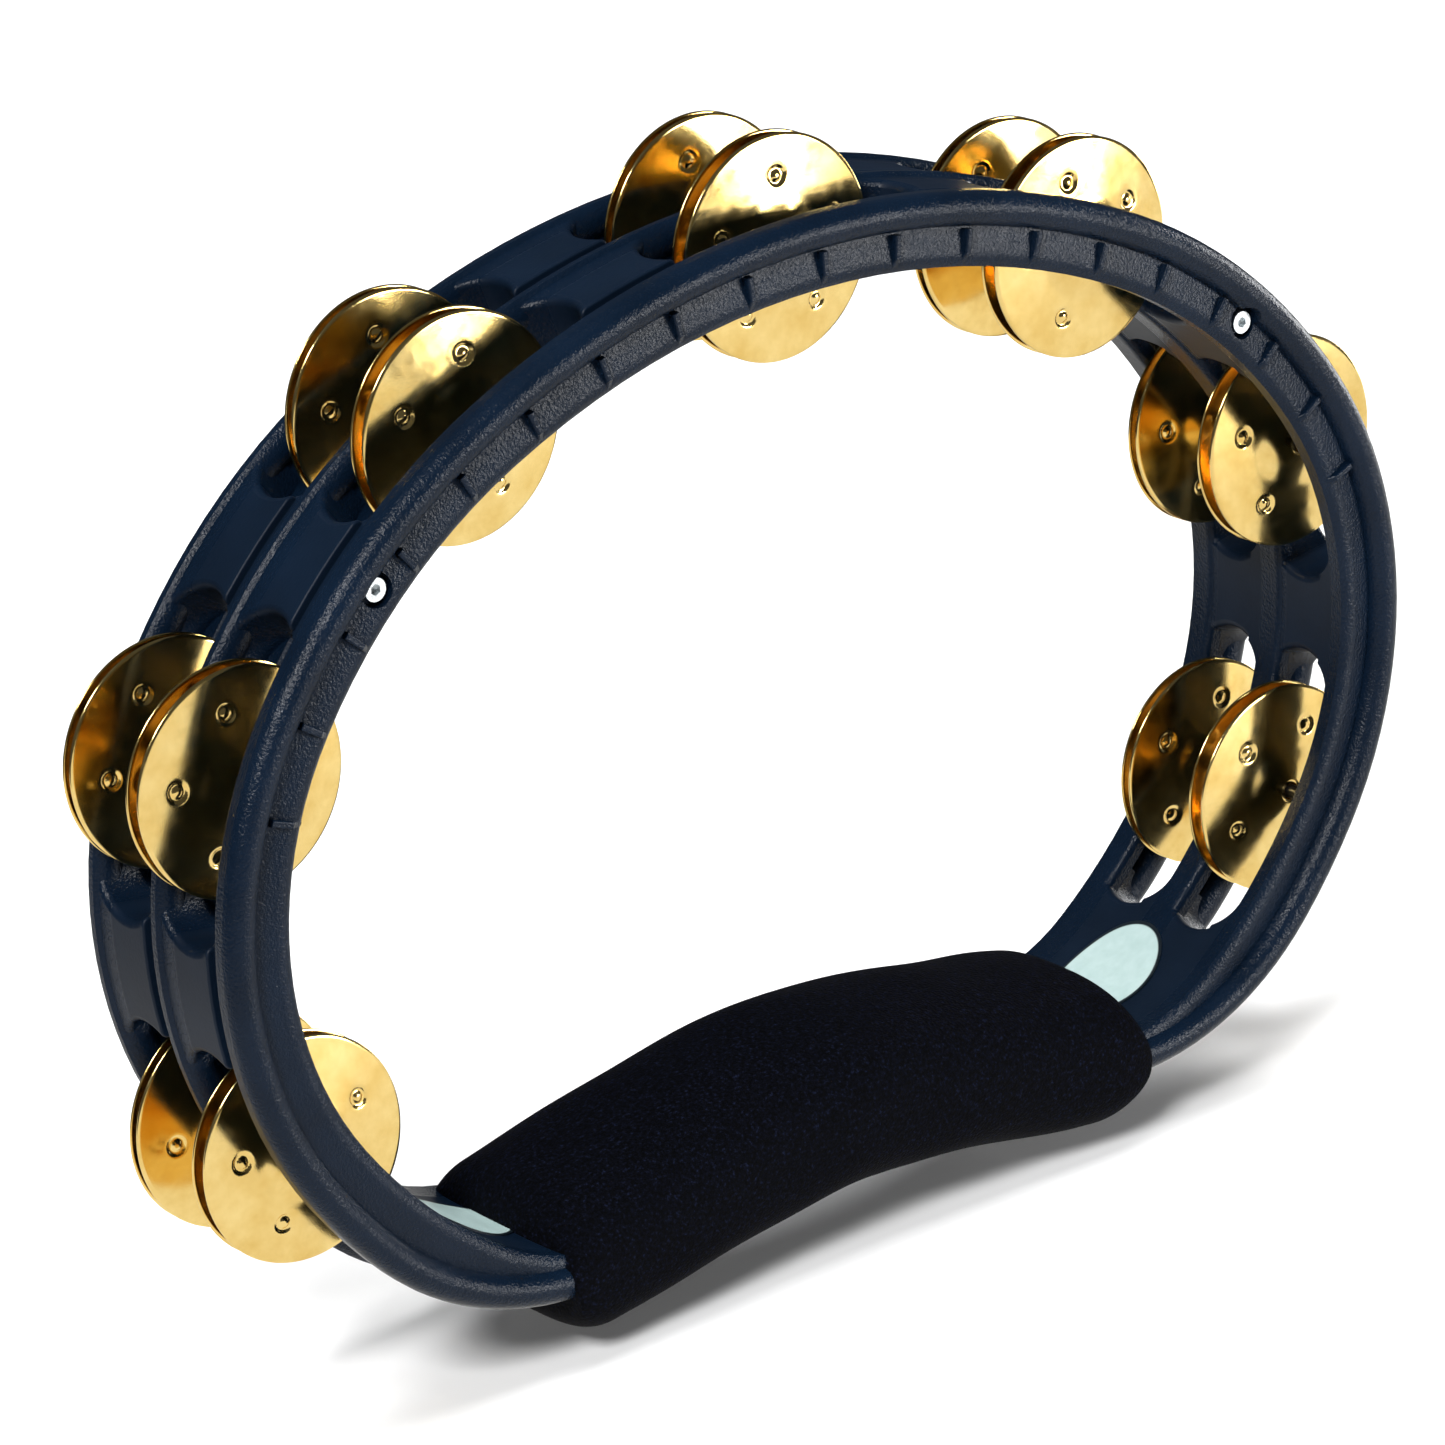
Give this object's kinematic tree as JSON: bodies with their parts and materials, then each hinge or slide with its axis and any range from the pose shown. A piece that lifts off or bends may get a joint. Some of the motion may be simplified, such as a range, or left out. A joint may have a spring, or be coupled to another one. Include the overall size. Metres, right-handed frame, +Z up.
{
  "type": "tambourine",
  "caption": "Hand-held oval tambourine: stacked plastic frame with two rows of jingle pairs on cross pins, scraping ribs and a foam grip.",
  "frame": {"origin": "middle of the foam grip, where the hand closes on it", "axes": "+X to the right along the grip, +Y along the jingle pins from the ribbed front rail to the back rail, +Z up from the grip to the top jingle station"},
  "size_m": [0.3096, 0.051, 0.2292],
  "materials": {
    "frame_plastic": "moulded ABS, near-black navy, finely pebbled beads and smooth panels",
    "jingle_brass": "polished stamped brass sheet",
    "pin_steel": "blackened drawn rod",
    "fastener_steel": "bright plated",
    "grip_foam": "matte closed-cell foam rubber",
    "label_film": "pale printed film, blank"
  },
  "bodies": {
    "frame": {"front_ring": "frame_plastic", "middle_ring": "frame_plastic", "back_ring": "frame_plastic", "clamp_screws": "fastener_steel", "clamp_nuts": "fastener_steel", "grip": "grip_foam", "label_left": "label_film", "label_right": "label_film"},
    "pin_body_low_left": {"pin_low_left": "pin_steel"},
    "disc_low_left_front_a": {"jingle_low_left_front_a": "jingle_brass"},
    "disc_low_left_front_b": {"jingle_low_left_front_b": "jingle_brass"},
    "disc_low_left_back_a": {"jingle_low_left_back_a": "jingle_brass"},
    "disc_low_left_back_b": {"jingle_low_left_back_b": "jingle_brass"},
    "pin_body_left": {"pin_left": "pin_steel"},
    "disc_left_front_a": {"jingle_left_front_a": "jingle_brass"},
    "disc_left_front_b": {"jingle_left_front_b": "jingle_brass"},
    "disc_left_back_a": {"jingle_left_back_a": "jingle_brass"},
    "disc_left_back_b": {"jingle_left_back_b": "jingle_brass"},
    "pin_body_upper_left": {"pin_upper_left": "pin_steel"},
    "disc_upper_left_front_a": {"jingle_upper_left_front_a": "jingle_brass"},
    "disc_upper_left_front_b": {"jingle_upper_left_front_b": "jingle_brass"},
    "disc_upper_left_back_a": {"jingle_upper_left_back_a": "jingle_brass"},
    "disc_upper_left_back_b": {"jingle_upper_left_back_b": "jingle_brass"},
    "pin_body_top": {"pin_top": "pin_steel"},
    "disc_top_front_a": {"jingle_top_front_a": "jingle_brass"},
    "disc_top_front_b": {"jingle_top_front_b": "jingle_brass"},
    "disc_top_back_a": {"jingle_top_back_a": "jingle_brass"},
    "disc_top_back_b": {"jingle_top_back_b": "jingle_brass"},
    "pin_body_upper_right": {"pin_upper_right": "pin_steel"},
    "disc_upper_right_front_a": {"jingle_upper_right_front_a": "jingle_brass"},
    "disc_upper_right_front_b": {"jingle_upper_right_front_b": "jingle_brass"},
    "disc_upper_right_back_a": {"jingle_upper_right_back_a": "jingle_brass"},
    "disc_upper_right_back_b": {"jingle_upper_right_back_b": "jingle_brass"},
    "pin_body_right": {"pin_right": "pin_steel"},
    "disc_right_front_a": {"jingle_right_front_a": "jingle_brass"},
    "disc_right_front_b": {"jingle_right_front_b": "jingle_brass"},
    "disc_right_back_a": {"jingle_right_back_a": "jingle_brass"},
    "disc_right_back_b": {"jingle_right_back_b": "jingle_brass"},
    "pin_body_low_right": {"pin_low_right": "pin_steel"},
    "disc_low_right_front_a": {"jingle_low_right_front_a": "jingle_brass"},
    "disc_low_right_front_b": {"jingle_low_right_front_b": "jingle_brass"},
    "disc_low_right_back_a": {"jingle_low_right_back_a": "jingle_brass"},
    "disc_low_right_back_b": {"jingle_low_right_back_b": "jingle_brass"}
  },
  "joints": [
    {"name": "spin_low_left", "type": "hinge", "parent": "frame", "child": "pin_body_low_left", "pos_m": [-0.12633, 0, 0.03351], "axis": [0, 1, 0], "continuous": true},
    {"name": "slide_low_left_front_a", "type": "slide", "parent": "pin_body_low_left", "child": "disc_low_left_front_a", "axis": [0, 1, 0], "range_m": [-0.0058, 0.0014]},
    {"name": "slide_low_left_front_b", "type": "slide", "parent": "pin_body_low_left", "child": "disc_low_left_front_b", "axis": [0, 1, 0], "range_m": [-0.0014, 0]},
    {"name": "slide_low_left_back_a", "type": "slide", "parent": "pin_body_low_left", "child": "disc_low_left_back_a", "axis": [0, 1, 0], "range_m": [-0.0072, 0.0007]},
    {"name": "slide_low_left_back_b", "type": "slide", "parent": "pin_body_low_left", "child": "disc_low_left_back_b", "axis": [0, 1, 0], "range_m": [-0.0007, 0]},
    {"name": "spin_left", "type": "hinge", "parent": "frame", "child": "pin_body_left", "pos_m": [-0.1323, 0, 0.10939], "axis": [0, 1, 0], "continuous": true},
    {"name": "slide_left_front_a", "type": "slide", "parent": "pin_body_left", "child": "disc_left_front_a", "axis": [0, 1, 0], "range_m": [-0.0058, 0.0014]},
    {"name": "slide_left_front_b", "type": "slide", "parent": "pin_body_left", "child": "disc_left_front_b", "axis": [0, 1, 0], "range_m": [-0.0014, 0]},
    {"name": "slide_left_back_a", "type": "slide", "parent": "pin_body_left", "child": "disc_left_back_a", "axis": [0, 1, 0], "range_m": [-0.0072, 0.0007]},
    {"name": "slide_left_back_b", "type": "slide", "parent": "pin_body_left", "child": "disc_left_back_b", "axis": [0, 1, 0], "range_m": [-0.0007, 0]},
    {"name": "spin_upper_left", "type": "hinge", "parent": "frame", "child": "pin_body_upper_left", "pos_m": [-0.07672, 0, 0.16379], "axis": [0, 1, 0], "continuous": true},
    {"name": "slide_upper_left_front_a", "type": "slide", "parent": "pin_body_upper_left", "child": "disc_upper_left_front_a", "axis": [0, 1, 0], "range_m": [-0.0058, 0.0014]},
    {"name": "slide_upper_left_front_b", "type": "slide", "parent": "pin_body_upper_left", "child": "disc_upper_left_front_b", "axis": [0, 1, 0], "range_m": [-0.0014, 0]},
    {"name": "slide_upper_left_back_a", "type": "slide", "parent": "pin_body_upper_left", "child": "disc_upper_left_back_a", "axis": [0, 1, 0], "range_m": [-0.0072, 0.0007]},
    {"name": "slide_upper_left_back_b", "type": "slide", "parent": "pin_body_upper_left", "child": "disc_upper_left_back_b", "axis": [0, 1, 0], "range_m": [-0.0007, 0]},
    {"name": "spin_top", "type": "hinge", "parent": "frame", "child": "pin_body_top", "pos_m": [0, 0, 0.1811], "axis": [0, 1, 0], "continuous": true},
    {"name": "slide_top_front_a", "type": "slide", "parent": "pin_body_top", "child": "disc_top_front_a", "axis": [0, 1, 0], "range_m": [-0.0058, 0.0014]},
    {"name": "slide_top_front_b", "type": "slide", "parent": "pin_body_top", "child": "disc_top_front_b", "axis": [0, 1, 0], "range_m": [-0.0014, 0]},
    {"name": "slide_top_back_a", "type": "slide", "parent": "pin_body_top", "child": "disc_top_back_a", "axis": [0, 1, 0], "range_m": [-0.0072, 0.0007]},
    {"name": "slide_top_back_b", "type": "slide", "parent": "pin_body_top", "child": "disc_top_back_b", "axis": [0, 1, 0], "range_m": [-0.0007, 0]},
    {"name": "spin_upper_right", "type": "hinge", "parent": "frame", "child": "pin_body_upper_right", "pos_m": [0.07672, 0, 0.16379], "axis": [0, 1, 0], "continuous": true},
    {"name": "slide_upper_right_front_a", "type": "slide", "parent": "pin_body_upper_right", "child": "disc_upper_right_front_a", "axis": [0, 1, 0], "range_m": [-0.0058, 0.0014]},
    {"name": "slide_upper_right_front_b", "type": "slide", "parent": "pin_body_upper_right", "child": "disc_upper_right_front_b", "axis": [0, 1, 0], "range_m": [-0.0014, 0]},
    {"name": "slide_upper_right_back_a", "type": "slide", "parent": "pin_body_upper_right", "child": "disc_upper_right_back_a", "axis": [0, 1, 0], "range_m": [-0.0072, 0.0007]},
    {"name": "slide_upper_right_back_b", "type": "slide", "parent": "pin_body_upper_right", "child": "disc_upper_right_back_b", "axis": [0, 1, 0], "range_m": [-0.0007, 0]},
    {"name": "spin_right", "type": "hinge", "parent": "frame", "child": "pin_body_right", "pos_m": [0.1323, 0, 0.10939], "axis": [0, 1, 0], "continuous": true},
    {"name": "slide_right_front_a", "type": "slide", "parent": "pin_body_right", "child": "disc_right_front_a", "axis": [0, 1, 0], "range_m": [-0.0058, 0.0014]},
    {"name": "slide_right_front_b", "type": "slide", "parent": "pin_body_right", "child": "disc_right_front_b", "axis": [0, 1, 0], "range_m": [-0.0014, 0]},
    {"name": "slide_right_back_a", "type": "slide", "parent": "pin_body_right", "child": "disc_right_back_a", "axis": [0, 1, 0], "range_m": [-0.0072, 0.0007]},
    {"name": "slide_right_back_b", "type": "slide", "parent": "pin_body_right", "child": "disc_right_back_b", "axis": [0, 1, 0], "range_m": [-0.0007, 0]},
    {"name": "spin_low_right", "type": "hinge", "parent": "frame", "child": "pin_body_low_right", "pos_m": [0.12633, 0, 0.03351], "axis": [0, 1, 0], "continuous": true},
    {"name": "slide_low_right_front_a", "type": "slide", "parent": "pin_body_low_right", "child": "disc_low_right_front_a", "axis": [0, 1, 0], "range_m": [-0.0058, 0.0014]},
    {"name": "slide_low_right_front_b", "type": "slide", "parent": "pin_body_low_right", "child": "disc_low_right_front_b", "axis": [0, 1, 0], "range_m": [-0.0014, 0]},
    {"name": "slide_low_right_back_a", "type": "slide", "parent": "pin_body_low_right", "child": "disc_low_right_back_a", "axis": [0, 1, 0], "range_m": [-0.0072, 0.0007]},
    {"name": "slide_low_right_back_b", "type": "slide", "parent": "pin_body_low_right", "child": "disc_low_right_back_b", "axis": [0, 1, 0], "range_m": [-0.0007, 0]}
  ]
}
